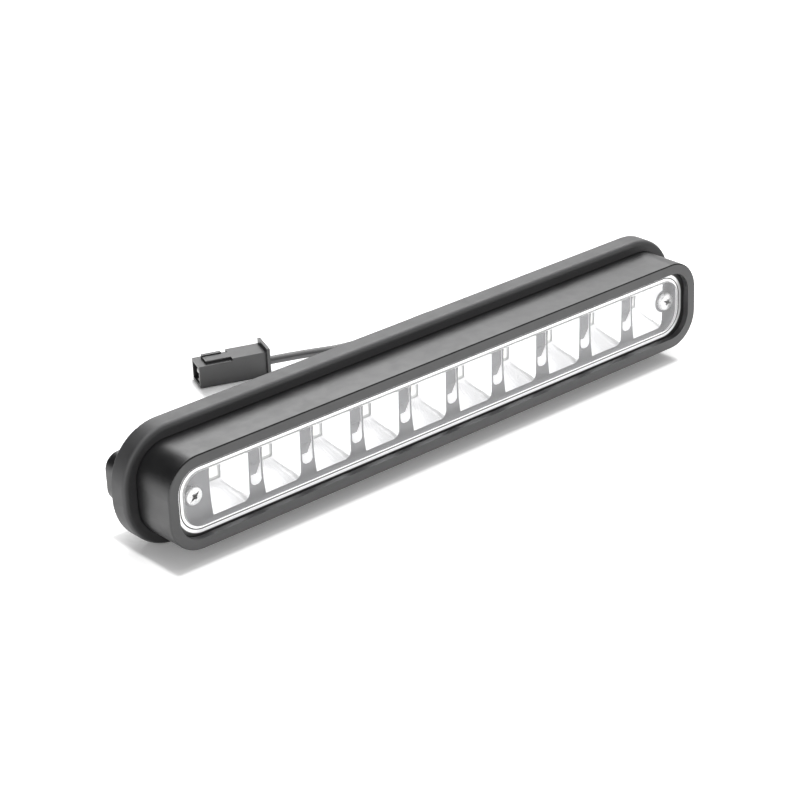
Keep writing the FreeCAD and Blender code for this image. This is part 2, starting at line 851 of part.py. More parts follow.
def blade_block(level, front, rear, grow):
    middle = connector_width / 2
    low_y = middle - blade_width / 2 - grow
    low_z = level - blade_thickness / 2 - grow
    high_y = middle + blade_width / 2 + grow
    high_z = level + blade_thickness / 2 + grow
    return block((front, low_y, low_z), (rear, high_y, high_z))


def make_connector_blade(index):
    """Flat contact that stands free in the mouth."""
    level = blade_levels()[index]
    return blade_block(level, mouth_depth - blade_length, blade_root(), 0.0)


def connector_bore(front, radius):
    """Round bar along the connector's axis from a depth inside it to its rear face."""
    centre = vec(front, connector_width / 2, connector_middle())
    return Part.makeCylinder(radius, connector_tail() - front, centre, vec(1, 0, 0))


def make_connector_insert():
    """Moulded end of the lead inside the connector, flush with the flange."""
    return connector_bore(blade_root(), lead_diameter / 2)


def build_nodes():
    nodes = {
        "housing": make_housing(),
        "lens": make_lens(),
        "lens_seal": make_lens_seal(),
        "reflector": make_reflector(),
        "led_board": make_led_board(),
        "thermal_pad": make_thermal_pad(),
        "heat_sink": make_heat_sink(),
        "housing_screws": make_housing_screws(),
        "mounting_gasket": make_gasket(),
        "stud_left": make_stud(-1),
        "stud_right": make_stud(1),
        "driver_lid": make_driver_lid(),
        "lid_seal": make_lid_seal(),
        "lid_screws": make_lid_screws(),
        "driver_sheet": make_driver_sheet(),
        "driver_board": make_driver_board(),
        "driver_choke": make_choke(),
        "driver_chip": make_driver_chip(),
        "feed_sleeve": make_feed_sleeve(),
        "feed_pin_lower": make_feed_pin(-1),
        "feed_pin_upper": make_feed_pin(1),
        "vent_plug": make_vent_plug(),
        "gland_body": make_gland_body(),
        "gland_nut": make_gland_nut(),
        "gland_lock_nut": make_gland_lock_nut(),
        "gland_insert": make_gland_insert(),
        "lead_wire_lower": make_lead_wire(-1),
        "lead_wire_upper": make_lead_wire(1),
        "lead": make_lead(),
        "connector_shell": place_connector(make_connector_shell()),
        "connector_blade_lower": place_connector(make_connector_blade(0)),
        "connector_blade_upper": place_connector(make_connector_blade(1)),
        "connector_insert": place_connector(make_connector_insert()),
    }
    for name, x in zip(("left", "right"), reflector_screw_places()):
        nodes["reflector_screw_" + name] = make_reflector_screw(x)
    for index in range(cell_count):
        nodes["led_%02d" % (index + 1)] = make_led(index)
    for index in range(capacitor_count):
        nodes["driver_capacitor_%d" % (index + 1)] = make_capacitor(index)
    return nodes


os.makedirs("parts", exist_ok=True)
for name, shape in sorted(build_nodes().items()):
    shape.exportStep("parts/%s.step" % name)
    print(name, len(shape.Solids), round(shape.Volume, 1), "valid" if shape.isValid() else "not valid")
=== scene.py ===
# %% [markdown]
# # A side light bar
# The object is a long vehicle lamp. A cast black housing holds ten bright reflector bowls behind
# one clear lens, a thick rubber gasket goes round its rear, and a short lead with a two-way
# connector lies behind it. The solids come from the CAD frame. This script gives them their
# finishes, adds the details that are easier to model here, and lights the scene.

import json
import math

import bmesh
import bpy
from mathutils import Matrix, Vector


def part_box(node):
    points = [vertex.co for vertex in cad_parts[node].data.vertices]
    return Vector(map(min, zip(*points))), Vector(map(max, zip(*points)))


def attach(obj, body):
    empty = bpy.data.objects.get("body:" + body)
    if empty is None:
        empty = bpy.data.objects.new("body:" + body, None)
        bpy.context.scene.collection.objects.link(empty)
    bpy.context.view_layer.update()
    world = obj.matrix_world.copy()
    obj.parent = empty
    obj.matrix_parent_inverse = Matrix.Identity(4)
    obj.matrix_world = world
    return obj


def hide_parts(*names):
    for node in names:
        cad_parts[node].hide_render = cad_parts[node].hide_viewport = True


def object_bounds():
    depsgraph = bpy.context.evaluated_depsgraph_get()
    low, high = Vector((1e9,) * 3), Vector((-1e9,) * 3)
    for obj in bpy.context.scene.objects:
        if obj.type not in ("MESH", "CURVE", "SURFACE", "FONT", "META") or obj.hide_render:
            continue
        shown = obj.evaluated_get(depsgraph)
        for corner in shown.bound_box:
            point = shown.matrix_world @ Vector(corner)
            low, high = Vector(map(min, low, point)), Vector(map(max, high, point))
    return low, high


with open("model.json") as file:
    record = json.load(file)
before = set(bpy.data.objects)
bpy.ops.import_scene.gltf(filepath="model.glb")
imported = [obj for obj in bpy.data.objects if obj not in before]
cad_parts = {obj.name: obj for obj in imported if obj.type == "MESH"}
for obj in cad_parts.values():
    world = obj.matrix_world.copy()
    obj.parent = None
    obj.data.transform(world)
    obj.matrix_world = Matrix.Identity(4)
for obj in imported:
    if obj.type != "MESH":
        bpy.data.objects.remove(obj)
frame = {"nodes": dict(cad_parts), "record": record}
nodes = frame["nodes"]
cad_low, cad_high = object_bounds()
print("nodes", len(nodes), "size mm", [round(1000 * v, 1) for v in cad_high - cad_low])

# %% [markdown]
# ## The camera
# A camera can be placed by hand until the picture looks right, but a long straight object shows
# every degree of error. Here the viewpoint was worked out from the lamp's own outline: it looks
# from the left and above, from a metre away, with a long focal length. The three axes of the
# camera are built from the angles and written into its matrix.

# %% Camera
camera_azimuth = math.radians(-40.07)
camera_elevation = math.radians(25.23)
camera_roll = math.radians(-2.49)
camera_shift = Vector((-0.02218, -0.00108, 1.02006))
front_offset = 0.030

side = Vector((math.cos(camera_azimuth), math.sin(camera_azimuth), 0))
back = Vector((
    math.sin(camera_azimuth) * math.cos(camera_elevation),
    -math.cos(camera_azimuth) * math.cos(camera_elevation),
    math.sin(camera_elevation),
))
up = back.cross(side)
camera_x = side * math.cos(camera_roll) + up * math.sin(camera_roll)
camera_y = up * math.cos(camera_roll) - side * math.sin(camera_roll)
place = camera_x * camera_shift.x + camera_y * camera_shift.y + back * camera_shift.z
place.y -= front_offset

lens_data = bpy.data.cameras.new("camera")
lens_data.sensor_width = 36
lens_data.lens = 111.785
lens_data.clip_start = 0.05
camera = bpy.data.objects.new("camera", lens_data)
camera_axes = Matrix((camera_x, camera_y, back)).transposed()
camera.matrix_world = Matrix.Translation(place) @ camera_axes.to_4x4()
bpy.context.scene.collection.objects.link(camera)
bpy.context.scene.camera = camera
print("camera at", [round(v, 4) for v in place])

# %% [markdown]
# ## The lead
# The lead is a soft black cable, 3.8 mm thick, that leaves the gland, sags behind the lamp and
# goes into the connector. A mesh tube could be swept by hand, but a curve with a round bevel stays
# smooth from every side. Its control points are the route of the CAD solid, in metres. A NURBS
# spline of order three rounds every corner by itself, and the end points are kept by the endpoint
# option, which has to be set after the points are there. The bevel is one metre deep and each
# point has the cable's radius, because Blender measures the box of a curve with the radius of its
# points.

# %% Lead
lead_diameter = 0.0038
lead_route = [
    (0.0620, 0.0240, 0.0), (0.0620, 0.0365, 0.0), (0.0610, 0.0500, -0.0052),
    (0.0555, 0.0620, -0.0122), (0.0445, 0.0710, -0.0182), (0.0293, 0.0780, -0.0210),
    (0.0132, 0.08534, -0.0206), (-0.0040, 0.0916, -0.0206),
]
lead_curve = bpy.data.curves.new("lead_cable", "CURVE")
lead_curve.dimensions = "3D"
spline = lead_curve.splines.new("NURBS")
spline.points.add(len(lead_route) - 1)
for point, route_point in zip(spline.points, lead_route):
    point.co = (*route_point, 1.0)
    point.radius = lead_diameter / 2
spline.order_u = 3
spline.use_endpoint_u = True
spline.resolution_u = 12
lead_curve.bevel_depth = 1.0
lead_curve.bevel_resolution = 6
lead_curve.use_fill_caps = True
lead_cable = bpy.data.objects.new("lead_cable", lead_curve)
bpy.context.scene.collection.objects.link(lead_cable)
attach(lead_cable, "root")
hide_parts("lead")
print("lead points", len(lead_route))

# %% [markdown]
# ## Node helpers
# Every finish and light below is a small tree of nodes. A few helpers keep those trees readable:
# one makes a node, one joins or sets a socket, and the rest are the sums that come back often.

# %% Node helpers
def add_node(tree, kind, **settings):
    """Adds one node and sets its own options, such as an operation or a data type."""
    node = tree.nodes.new(kind)
    for name, value in settings.items():
        setattr(node, name, value)
    return node


def connect(tree, value, socket):
    """Joins an output to a socket, or writes a plain value into the socket."""
    if isinstance(value, bpy.types.NodeSocket):
        tree.links.new(value, socket)
    else:
        socket.default_value = value


def compute(tree, operation, first, second=0.0, third=0.0, clamp=False):
    """One Math node, with outputs or plain numbers as its inputs."""
    node = add_node(tree, "ShaderNodeMath", operation=operation, use_clamp=clamp)
    for socket, value in zip(node.inputs, (first, second, third)):
        connect(tree, value, socket)
    return node.outputs[0]


def ramp_between(tree, value, start, end, low=0.0, high=1.0):
    """Moves a value smoothly from low to high while it goes from start to end."""
    node = add_node(tree, "ShaderNodeMapRange", interpolation_type="SMOOTHSTEP")
    connect(tree, value, node.inputs["Value"])
    node.inputs["From Min"].default_value = start
    node.inputs["From Max"].default_value = end
    node.inputs["To Min"].default_value = low
    node.inputs["To Max"].default_value = high
    return node.outputs["Result"]


def axis_values(tree, vector):
    """The three parts of a vector."""
    node = add_node(tree, "ShaderNodeSeparateXYZ")
    tree.links.new(vector, node.inputs["Vector"])
    return node.outputs["X"], node.outputs["Y"], node.outputs["Z"]


def outside_box(tree, first, second, half_first, half_second):
    """How far a place lies outside a rectangle round zero; it is zero inside."""
    sides = []
    for value, half in ((first, half_first), (second, half_second)):
        beyond = compute(tree, "SUBTRACT", compute(tree, "ABSOLUTE", value), half)
        beyond = compute(tree, "MAXIMUM", beyond, 0.0)
        sides.append(compute(tree, "MULTIPLY", beyond, beyond))
    return compute(tree, "SQRT", compute(tree, "ADD", *sides))


def seen_directly(tree):
    """One for what the camera, a reflection or a clear piece sees, and zero for lighting."""
    path = add_node(tree, "ShaderNodeLightPath")
    seen = compute(tree, "ADD", path.outputs["Is Camera Ray"], path.outputs["Is Glossy Ray"])
    return compute(tree, "ADD", seen, path.outputs["Is Transmission Ray"], clamp=True)


print("helpers ready")

# %% [markdown]
# ## Floor
# A catalogue picture stands on white paper. White could come from more lamps, but then the object
# would be too bright as well. So the paper adds some light of its own to what the camera, a clear
# piece and a reflection see, and a reflection gets three quarters of it. In a rectangle below the
# lamp it adds little, and below the connector nothing, so that the real shadow shows there. The
# rectangles were fitted to the shadow in the photo, and outside them most of the shadow is covered
# up. A little further away the paper is bright by itself, so it adds less. The far end, which only
# low views see, would turn grey, so there it adds more again, for the camera alone.

# %% Floor
floor_level = cad_low.z
floor_half_size = 4.0
shadow_lift = 0.14
near_lift = 0.62
far_lift = 0.20
horizon_lift = 0.60
lift_width = 0.0030
near_end, far_start = 0.05, 0.20
horizon_start, horizon_end = 0.4, 1.6
mirrored_share = 0.75
lamp_middle_x = -0.0065
lamp_half_length = 0.137
lamp_middle_y = -0.010
lamp_half_depth = 0.021
connector_middle = (-0.0224, 0.0886, 0)
connector_turn = math.radians(-20.0)
connector_half_length = 0.01625
connector_half_width = 0.0145

floor_mesh = bpy.data.meshes.new("floor")
sheet = bmesh.new()
bmesh.ops.create_grid(sheet, x_segments=1, y_segments=1, size=floor_half_size)
bmesh.ops.translate(sheet, verts=sheet.verts, vec=(0, 0, floor_level))
sheet.to_mesh(floor_mesh)
sheet.free()
floor = bpy.data.objects.new("floor", floor_mesh)
bpy.context.scene.collection.objects.link(floor)

paper = bpy.data.materials.new("white_paper")
paper.use_nodes = True
tree = paper.node_tree
shader = tree.nodes["Principled BSDF"]
shader.inputs["Base Color"].default_value = (0.95, 0.95, 0.95, 1)
shader.inputs["Roughness"].default_value = 0.9
shader.inputs["Specular IOR Level"].default_value = 0.0
shader.inputs["Emission Color"].default_value = (1, 1, 1, 1)
place_on_paper = add_node(tree, "ShaderNodeTexCoord").outputs["Object"]
x, y = axis_values(tree, place_on_paper)[:2]
from_lamp = outside_box(
    tree, compute(tree, "SUBTRACT", x, lamp_middle_x), compute(tree, "SUBTRACT", y, lamp_middle_y),
    lamp_half_length, lamp_half_depth)
turned = add_node(tree, "ShaderNodeMapping", vector_type="TEXTURE")
turned.inputs["Location"].default_value = connector_middle
turned.inputs["Rotation"].default_value = (0, 0, connector_turn)
tree.links.new(place_on_paper, turned.inputs["Vector"])
along, across = axis_values(tree, turned.outputs["Vector"])[:2]
from_connector = outside_box(tree, along, across, connector_half_length, connector_half_width)
nearest = compute(tree, "MINIMUM", from_lamp, from_connector)
rise = compute(
    tree, "MINIMUM", ramp_between(tree, from_lamp, 0.0, lift_width, shadow_lift, near_lift),
    ramp_between(tree, from_connector, 0.0, lift_width, 0.0, near_lift))
fall = ramp_between(tree, nearest, near_end, far_start, 0.0, far_lift - near_lift)
lift = compute(tree, "ADD", rise, fall)
rays = add_node(tree, "ShaderNodeLightPath")
seen = compute(
    tree, "MULTIPLY_ADD", rays.outputs["Is Glossy Ray"], mirrored_share - 1.0, seen_directly(tree))
horizon = ramp_between(tree, nearest, horizon_start, horizon_end, 0.0, horizon_lift)
horizon = compute(tree, "MULTIPLY", horizon, rays.outputs["Is Camera Ray"])
lift = compute(tree, "ADD", lift, horizon)
connect(tree, compute(tree, "MULTIPLY", lift, seen), shader.inputs["Emission Strength"])
floor.data.materials.append(paper)
print("floor at", round(1000 * floor_level, 2), "mm")

# %% [markdown]
# ## World
# The world is what surrounds the lamp. A plain white one would be simple, but the black coat
# mirrors it from all sides and turns pale. So it is white to the camera and through the lens. To
# reflections it is white in front and low on the right, and dark high up behind the lamp and, on
# the left, almost down to the horizon. That gives the rounded corner its depth, and it departs
# from a plain white studio. As a lamp the world is an even grey.

# %% World
sky_strength = 0.40
dark_behind = 0.05
front_to_back, high_up = (-0.2, 0.2), (0.30, 0.52)
right_to_left, towards_back, above_horizon = (0.40, 0.0), (0.05, 0.40), (-0.02, 0.15)
world = bpy.data.worlds.new("studio")
bpy.context.scene.world = world
world.use_nodes = True
sky = world.node_tree
sky.nodes.clear()
direction = add_node(sky, "ShaderNodeTexCoord")
across, away, above = axis_values(sky, direction.outputs["Generated"])
high_dimming = ramp_between(sky, away, *front_to_back, 0.0, 1.0 - dark_behind)
high_dimming = compute(sky, "MULTIPLY", high_dimming, ramp_between(sky, above, *high_up))
left_behind = compute(
    sky, "MULTIPLY", ramp_between(sky, across, *right_to_left),
    ramp_between(sky, away, *towards_back))
left_dimming = ramp_between(sky, above, *above_horizon, 0.0, 1.0 - dark_behind)
left_dimming = compute(sky, "MULTIPLY", left_behind, left_dimming)
dimming = compute(sky, "MAXIMUM", high_dimming, left_dimming)
light_path = add_node(sky, "ShaderNodeLightPath")
outside = compute(sky, "SUBTRACT", 1.0, light_path.outputs["Is Transmission Ray"])
outside = compute(sky, "MULTIPLY", outside, light_path.outputs["Is Glossy Ray"])
shown = compute(sky, "SUBTRACT", 1.0, compute(sky, "MULTIPLY", dimming, outside))
lighting = add_node(sky, "ShaderNodeBackground")
lighting.inputs["Strength"].default_value = sky_strength
backdrop = add_node(sky, "ShaderNodeBackground")
connect(sky, shown, backdrop.inputs["Strength"])
chooser = add_node(sky, "ShaderNodeMixShader")
connect(sky, seen_directly(sky), chooser.inputs["Fac"])
sky.links.new(lighting.outputs[0], chooser.inputs[1])
sky.links.new(backdrop.outputs[0], chooser.inputs[2])
sky.links.new(chooser.outputs[0], add_node(sky, "ShaderNodeOutputWorld").inputs["Surface"])
bpy.context.scene.view_settings.view_transform = "Standard"
print("sky strength", sky_strength)

# %% [markdown]
# ## Soft lamps
# One soft lamp hangs high over the object and gives the compact shadow below it. A second one
# stands behind on the right, halfway up: the tops of the housing and the gasket mirror it as a pale
# sheen. Two weaker ones fill the front from the left and the right. A point lamp would throw a hard
# shadow, so all four are large rectangles. Each is given the radiance of its surface, so that its
# size can be changed without its brightness.

# %% Soft lamps
def soft_lamp(name, towards, distance, width, height, radiance):
    """A rectangular lamp that looks at the object from one direction."""
    data = bpy.data.lights.new(name, "AREA")
    data.shape = "RECTANGLE"
    data.size = width
    data.size_y = height
    data.energy = radiance * math.pi * width * height
    lamp = bpy.data.objects.new(name, data)
    heading = Vector(towards).normalized()
    lamp.location = heading * distance
    lamp.rotation_euler = heading.to_track_quat("Z", "Y").to_euler()
    bpy.context.scene.collection.objects.link(lamp)
    return lamp


soft_lamp("softbox_above", (-0.05, 0.05, 1.0), 1.5, 0.8, 0.8, 3.0)
soft_lamp("softbox_behind", (0.52, 0.48, 0.70), 1.5, 1.4, 1.1, 3.3)
soft_lamp("fill_front_left", (-0.85, -0.45, 0.45), 1.6, 0.8, 0.7, 1.2)
soft_lamp("fill_front_right", (0.60, -0.75, 0.26), 1.6, 1.0, 0.5, 2.5)
print("lamps 4")

# %% [markdown]
# ## Finishes
# A finish that is one flat colour looks like a computer model. Real moulded and cast surfaces have
# a fine grain that breaks up their reflections, and their colour and gloss drift a little from
# place to place. Noise textures on Object coordinates give both: the noise is counted in metres,
# so a scale of 2000 is a grain of half a millimetre, whatever the size of the piece.

# %% Finish helpers
def start_finish(name):
    """A new material with its tree and its main shader."""
    material = bpy.data.materials.new(name)
    material.use_nodes = True
    tree = material.node_tree
    return material, tree, tree.nodes["Principled BSDF"]


def position(tree, scale=(1, 1, 1)):
    """Object coordinates, stretched for a pattern with a direction."""
    source = add_node(tree, "ShaderNodeTexCoord")
    mapping = add_node(tree, "ShaderNodeMapping")
    mapping.inputs["Scale"].default_value = scale
    tree.links.new(source.outputs["Object"], mapping.inputs["Vector"])
    return mapping.outputs["Vector"]


def noise(tree, scale, detail=2.0, stretch=(1, 1, 1)):
    """Soft random blotches, with the scale counted per metre."""
    node = add_node(tree, "ShaderNodeTexNoise")
    node.inputs["Scale"].default_value = scale
    node.inputs["Detail"].default_value = detail
    tree.links.new(position(tree, stretch), node.inputs["Vector"])
    return node.outputs["Fac"]


def two_colours(tree, share, first, second):
    """A blend from the first colour to the second one."""
    node = add_node(tree, "ShaderNodeMix", data_type="RGBA")
    connect(tree, share, node.inputs[0])
    for socket, colour in ((node.inputs[6], first), (node.inputs[7], second)):
        connect(tree, (*colour, 1) if isinstance(colour, tuple) else colour, socket)
    return node.outputs[2]


def relief(tree, shader, height, strength, distance):
    """Bends the surface's shading by a height."""
    node = add_node(tree, "ShaderNodeBump")
    node.inputs["Strength"].default_value = strength
    node.inputs["Distance"].default_value = distance
    connect(tree, height, node.inputs["Height"])
    tree.links.new(node.outputs["Normal"], shader.inputs["Normal"])


def shades(colour, drift):
    """A slightly darker and a slightly lighter version of a colour."""
    return tuple(c * (1 - drift) for c in colour), tuple(c * (1 + drift) for c in colour)


def moulded(name, colour, roughness, grain=2200.0, depth=0.00003, specular=0.5, index=1.5):
    """Plastic, rubber or paint: a little cloudy in colour, with a fine grain."""
    material, tree, shader = start_finish(name)
    cloud = ramp_between(tree, noise(tree, 45.0, 3.0), 0.3, 0.7)
    connect(tree, two_colours(tree, cloud, *shades(colour, 0.12)), shader.inputs["Base Color"])
    blotch = noise(tree, 180.0, 3.0)
    gloss = ramp_between(tree, blotch, 0.3, 0.7, roughness - 0.03, roughness + 0.04)
    connect(tree, gloss, shader.inputs["Roughness"])
    shader.inputs["Specular IOR Level"].default_value = specular
    shader.inputs["IOR"].default_value = index
    relief(tree, shader, noise(tree, grain), 0.35, depth)
    return material


def worked_metal(name, colour, roughness, stretch=(1, 1, 1), scale=900.0, metallic=1.0):
    """Metal with fine tool marks, which run along the axis that is stretched least."""
    material, tree, shader = start_finish(name)
    marks = noise(tree, scale, 3.0, stretch)
    connect(tree, two_colours(tree, marks, *shades(colour, 0.06)), shader.inputs["Base Color"])
    shader.inputs["Metallic"].default_value = metallic
    gloss = ramp_between(tree, marks, 0.3, 0.7, roughness - 0.04, roughness + 0.06)
    connect(tree, gloss, shader.inputs["Roughness"])
    relief(tree, shader, marks, 0.25, 0.00002)
    return material


finish = {}
print("finish helpers ready")

# %% [markdown]
# ## Black housing and rubber
# The housing has a satin black coat over a casting. It is much darker than it looks: nearly all of
# the grey on its top is the mirrored lamp. So the colour stays close to black, and the sheen comes
# from a strong specular level and a medium roughness. The rubber is rougher and a little blotchy
# where it was handled. The connector and the gland are moulded nylon with a coarser grain.
# The front edge of the housing and the front of the gasket are nearly black in the picture, so
# there the sheen gives way to a matt black, and the way the surface faces says where. This is
# painted: a painted dark reflection on the edge, and a painted shade on the gasket's front next to
# the housing.

# %% Black finishes
# Shares of painted shade: on the coat's front edge and on the gasket's front.
painted_edge_shade = 0.85
painted_front_shade = 0.5


def paint_matt_shade(material, share, colour):
    """Mixes a matt colour over the finish where the share is one: a painted shade."""
    tree = material.node_tree
    matt = add_node(tree, "ShaderNodeBsdfDiffuse")
    matt.inputs["Color"].default_value = (*colour, 1)
    mix = add_node(tree, "ShaderNodeMixShader")
    connect(tree, share, mix.inputs["Fac"])
    tree.links.new(tree.nodes["Principled BSDF"].outputs[0], mix.inputs[1])
    tree.links.new(matt.outputs[0], mix.inputs[2])
    tree.links.new(mix.outputs[0], tree.nodes["Material Output"].inputs["Surface"])


def outward_axes(tree):
    """The three parts of the direction that a face looks in."""
    return axis_values(tree, add_node(tree, "ShaderNodeNewGeometry").outputs["True Normal"])


coat = moulded("satin_black_coat", (0.008, 0.008, 0.009), 0.37, 3200.0, 0.000010, 1.0, 1.56)
tree = coat.node_tree
y, z = outward_axes(tree)[1:]
# Painted dark reflection: the rounded front edge, where it faces forward and up, turns matt black.
edge = compute(
    tree, "MULTIPLY", ramp_between(tree, y, -0.15, -0.40), ramp_between(tree, z, 0.25, 0.50))
paint_matt_shade(coat, compute(tree, "MULTIPLY", edge, painted_edge_shade), (0.01, 0.01, 0.01))
finish["housing_black"] = coat

rubber = moulded("gasket_rubber", (0.055, 0.055, 0.057), 0.50, 1500.0, 0.000015, 1.0)
y = outward_axes(rubber.node_tree)[1]
# Painted shade: the gasket's forward face is half matt black.
front = ramp_between(rubber.node_tree, y, -0.55, -0.95, 0.0, painted_front_shade)
paint_matt_shade(rubber, front, (0.012, 0.012, 0.012))
finish["gasket_rubber"] = rubber
finish["sealant"] = moulded("black_sealant", (0.012, 0.012, 0.012), 0.5, 900.0)
finish["gland_black"] = moulded("gland_nylon", (0.022, 0.022, 0.022), 0.45, 1800.0)
finish["cable_jacket"] = moulded(
    "cable_jacket", (0.03, 0.03, 0.031), 0.42, 1200.0, 0.00002, 1.0, 1.7)
finish["connector_black"] = moulded(
    "connector_nylon", (0.018, 0.018, 0.019), 0.36, 1600.0, 0.00002, 1.0, 1.55)
finish["chip_black"] = moulded("chip_resin", (0.02, 0.02, 0.02), 0.5, 4000.0)
finish["ferrite"] = moulded("ferrite", (0.05, 0.05, 0.055), 0.6, 2500.0, 0.00005)
finish["wire_black"] = moulded("black_core", (0.02, 0.02, 0.02), 0.3, 1200.0)
finish["wire_red"] = moulded("red_core", (0.45, 0.02, 0.02), 0.3, 1200.0)
print("black finishes", len(finish))

# %% [markdown]
# ## Boards and small parts
# The light board has a white mask with a faint weave under it, the driver board is green glass
# fibre, and the thermal pad and the insulating sheet are soft and matt. They are hidden or seen
# only through the bowls, so they share the moulded finish with their own colour and grain.

# %% Pale and board finishes
finish["board_white"] = moulded("white_mask", (0.8, 0.81, 0.8), 0.4, 1400.0, 0.00001)
finish["board_green"] = moulded("green_mask", (0.02, 0.12, 0.05), 0.35, 1400.0, 0.00001)
finish["sheet_cream"] = moulded("insulating_sheet", (0.75, 0.7, 0.52), 0.55, 1500.0)
finish["sleeve_white"] = moulded("white_sleeve", (0.75, 0.75, 0.72), 0.45, 2000.0)
finish["pad_grey"] = moulded("thermal_pad", (0.25, 0.27, 0.29), 0.75, 1800.0, 0.00005)
print("finishes", len(finish))

# %% [markdown]
# ## Metals
# Screws are zinc plated and tumbled, so their marks have no direction. The studs and the cans are
# turned, with marks round the part. Noise that is squeezed along one axis gives lines across it.

# %% Metal finishes
finish["screw_steel"] = worked_metal(
    "zinc_screws", (0.95, 0.95, 0.95), 0.30, (1, 1, 1), 1500.0, 0.75)
finish["stud_steel"] = worked_metal("zinc_studs", (0.72, 0.73, 0.74), 0.28, (1, 6, 1), 900.0)
finish["capacitor_can"] = worked_metal("aluminium_cans", (0.82, 0.83, 0.84), 0.25, (1, 5, 1), 900.0)
finish["contact_tin"] = worked_metal(
    "tinned_contacts", (0.62, 0.62, 0.60), 0.35, (1, 1, 1), 1200.0, 0.4)
print("finishes", len(finish))

# %% [markdown]
# ## The reflector
# The moulding is metallised all over. The flat webs between the bowls come out satin, and the bowls
# and the walls of the small pockets come out bright. A second object could carry the second finish.
# Here one material reads which way the surface faces and where it is: what looks straight forward
# is satin and what slopes is polished. The pockets, which lie between two bowls, have a grey floor,
# and their walls are white and hardly metallic, a painted highlight. Steep walls elsewhere are
# mostly matt white and the bowls partly so, as a painted reflection. The bowls also have faint
# radial flutes that spread the light. The photo overexposes the bowls and the pockets, and to match
# it what is polished gives light of its own, so it also glows under other lamps.

# %% Reflector finish
web_colour = (0.27, 0.27, 0.28)
bowl_colour = (0.97, 0.97, 0.98)
cell_pitch = 0.02582
cell_offset = 0.0050
pocket_start = 0.39
bowl_glow = 0.20
pocket_glow = 0.35
pocket_floor_colour = (0.36, 0.36, 0.37)
cells_reach = 4.9
satin_slope, steep_slope, level_slope = (0.78, 0.88), (0.12, 0.30), (0.95, 0.98)
wall_metal, bowl_metal, pocket_metal_loss = 0.2, 0.75, 0.6
polished_roughness, satin_roughness = 0.22, 0.40
flute_count = 36.0


def facing_front(tree, start, end):
    """One where a surface looks straight forward, and zero where it slopes."""
    slope = outward_axes(tree)[1]
    return ramp_between(tree, compute(tree, "ABSOLUTE", slope), start, end)


material, tree, shader = start_finish("metallised_reflector")
x, _, z = axis_values(tree, position(tree))
satin = facing_front(tree, *satin_slope)
polished = compute(tree, "SUBTRACT", 1.0, satin)
sloping = facing_front(tree, *steep_slope)
cell_x = compute(tree, "DIVIDE", compute(tree, "SUBTRACT", x, cell_offset), cell_pitch)
local_x = compute(tree, "SUBTRACT", compute(tree, "FRACT", cell_x), 0.5)
between = compute(tree, "GREATER_THAN", compute(tree, "ABSOLUTE", local_x), pocket_start)
inside_row = compute(tree, "LESS_THAN", compute(tree, "ABSOLUTE", cell_x), cells_reach)
level = facing_front(tree, *level_slope)
pocket = compute(tree, "SUBTRACT", between, level, clamp=True)
pocket = compute(tree, "MULTIPLY", pocket, inside_row)
satin_colour = two_colours(tree, pocket, web_colour, pocket_floor_colour)
connect(tree, two_colours(tree, satin, bowl_colour, satin_colour), shader.inputs["Base Color"])
# Painted highlight and reflection: steep walls are mostly matt white, pocket walls almost wholly,
# and the bowls partly.
metal = compute(tree, "MULTIPLY_ADD", sloping, bowl_metal - wall_metal, wall_metal)
metal = compute(tree, "MULTIPLY_ADD", pocket, -pocket_metal_loss, metal, clamp=True)
connect(tree, metal, shader.inputs["Metallic"])
shader.inputs["Emission Color"].default_value = (1, 1, 1, 1)
glow = compute(tree, "MULTIPLY_ADD", pocket, pocket_glow - bowl_glow, bowl_glow)
connect(tree, compute(tree, "MULTIPLY", polished, glow), shader.inputs["Emission Strength"])
sheen = compute(
    tree, "MULTIPLY_ADD", satin, satin_roughness - polished_roughness, polished_roughness)
connect(tree, sheen, shader.inputs["Roughness"])
around = compute(tree, "ARCTAN2", compute(tree, "DIVIDE", z, cell_pitch), local_x)
flutes = compute(tree, "SINE", compute(tree, "MULTIPLY", around, flute_count))
relief(tree, shader, compute(tree, "MULTIPLY", flutes, polished), 0.2, 0.00004)
finish["reflector_bright"] = material
print("finishes", len(finish))

# %% [markdown]
# ## Lens and emitters
# The lens is clear acrylic: its panel has full transmission, an index of 1.49 and almost no
# roughness. Its thickness is real, so it shifts what lies behind it. The flange round its raised
# panel mirrors the paper like the inside of a prism does. A renderer finds that path only slowly,
# so the flange is drawn as a painted reflection: it is pale, gives some light of its own, has one
# dark line, and is painted darker beside the wall of the housing and dimmer at the far end. The
# step between flange and panel is frosted and nearly opaque white, a painted highlight for the
# bright edges of the panel. Light that falls on the reflector would be lost in a renderer's glass,
# so only what the camera sees is refracted, and all other rays pass straight through. Each emitter
# is a pale package with a dome over phosphor, and it glows faintly as if overexposed.

# %% Clear and pale finishes
step_clearness = 0.15
step_roughness = 0.25
panel_half_length = 0.13615
panel_half_height = 0.0118
panel_corner = 0.0086
panel_slope = (0.80, 0.97)
flange_middle = -0.0266
flange_half = 0.0005
flange_metal = 0.4
flange_glow = 0.45
line_distance = 0.0013
line_width = 0.0002
wall_shadow = (panel_corner + 0.0026, panel_corner + 0.0031)
far_end_start, far_end_stop, far_end_share = 0.1335, 0.1375, 0.15
white, dark = (1.0, 1.0, 1.0), (0.08, 0.08, 0.08)

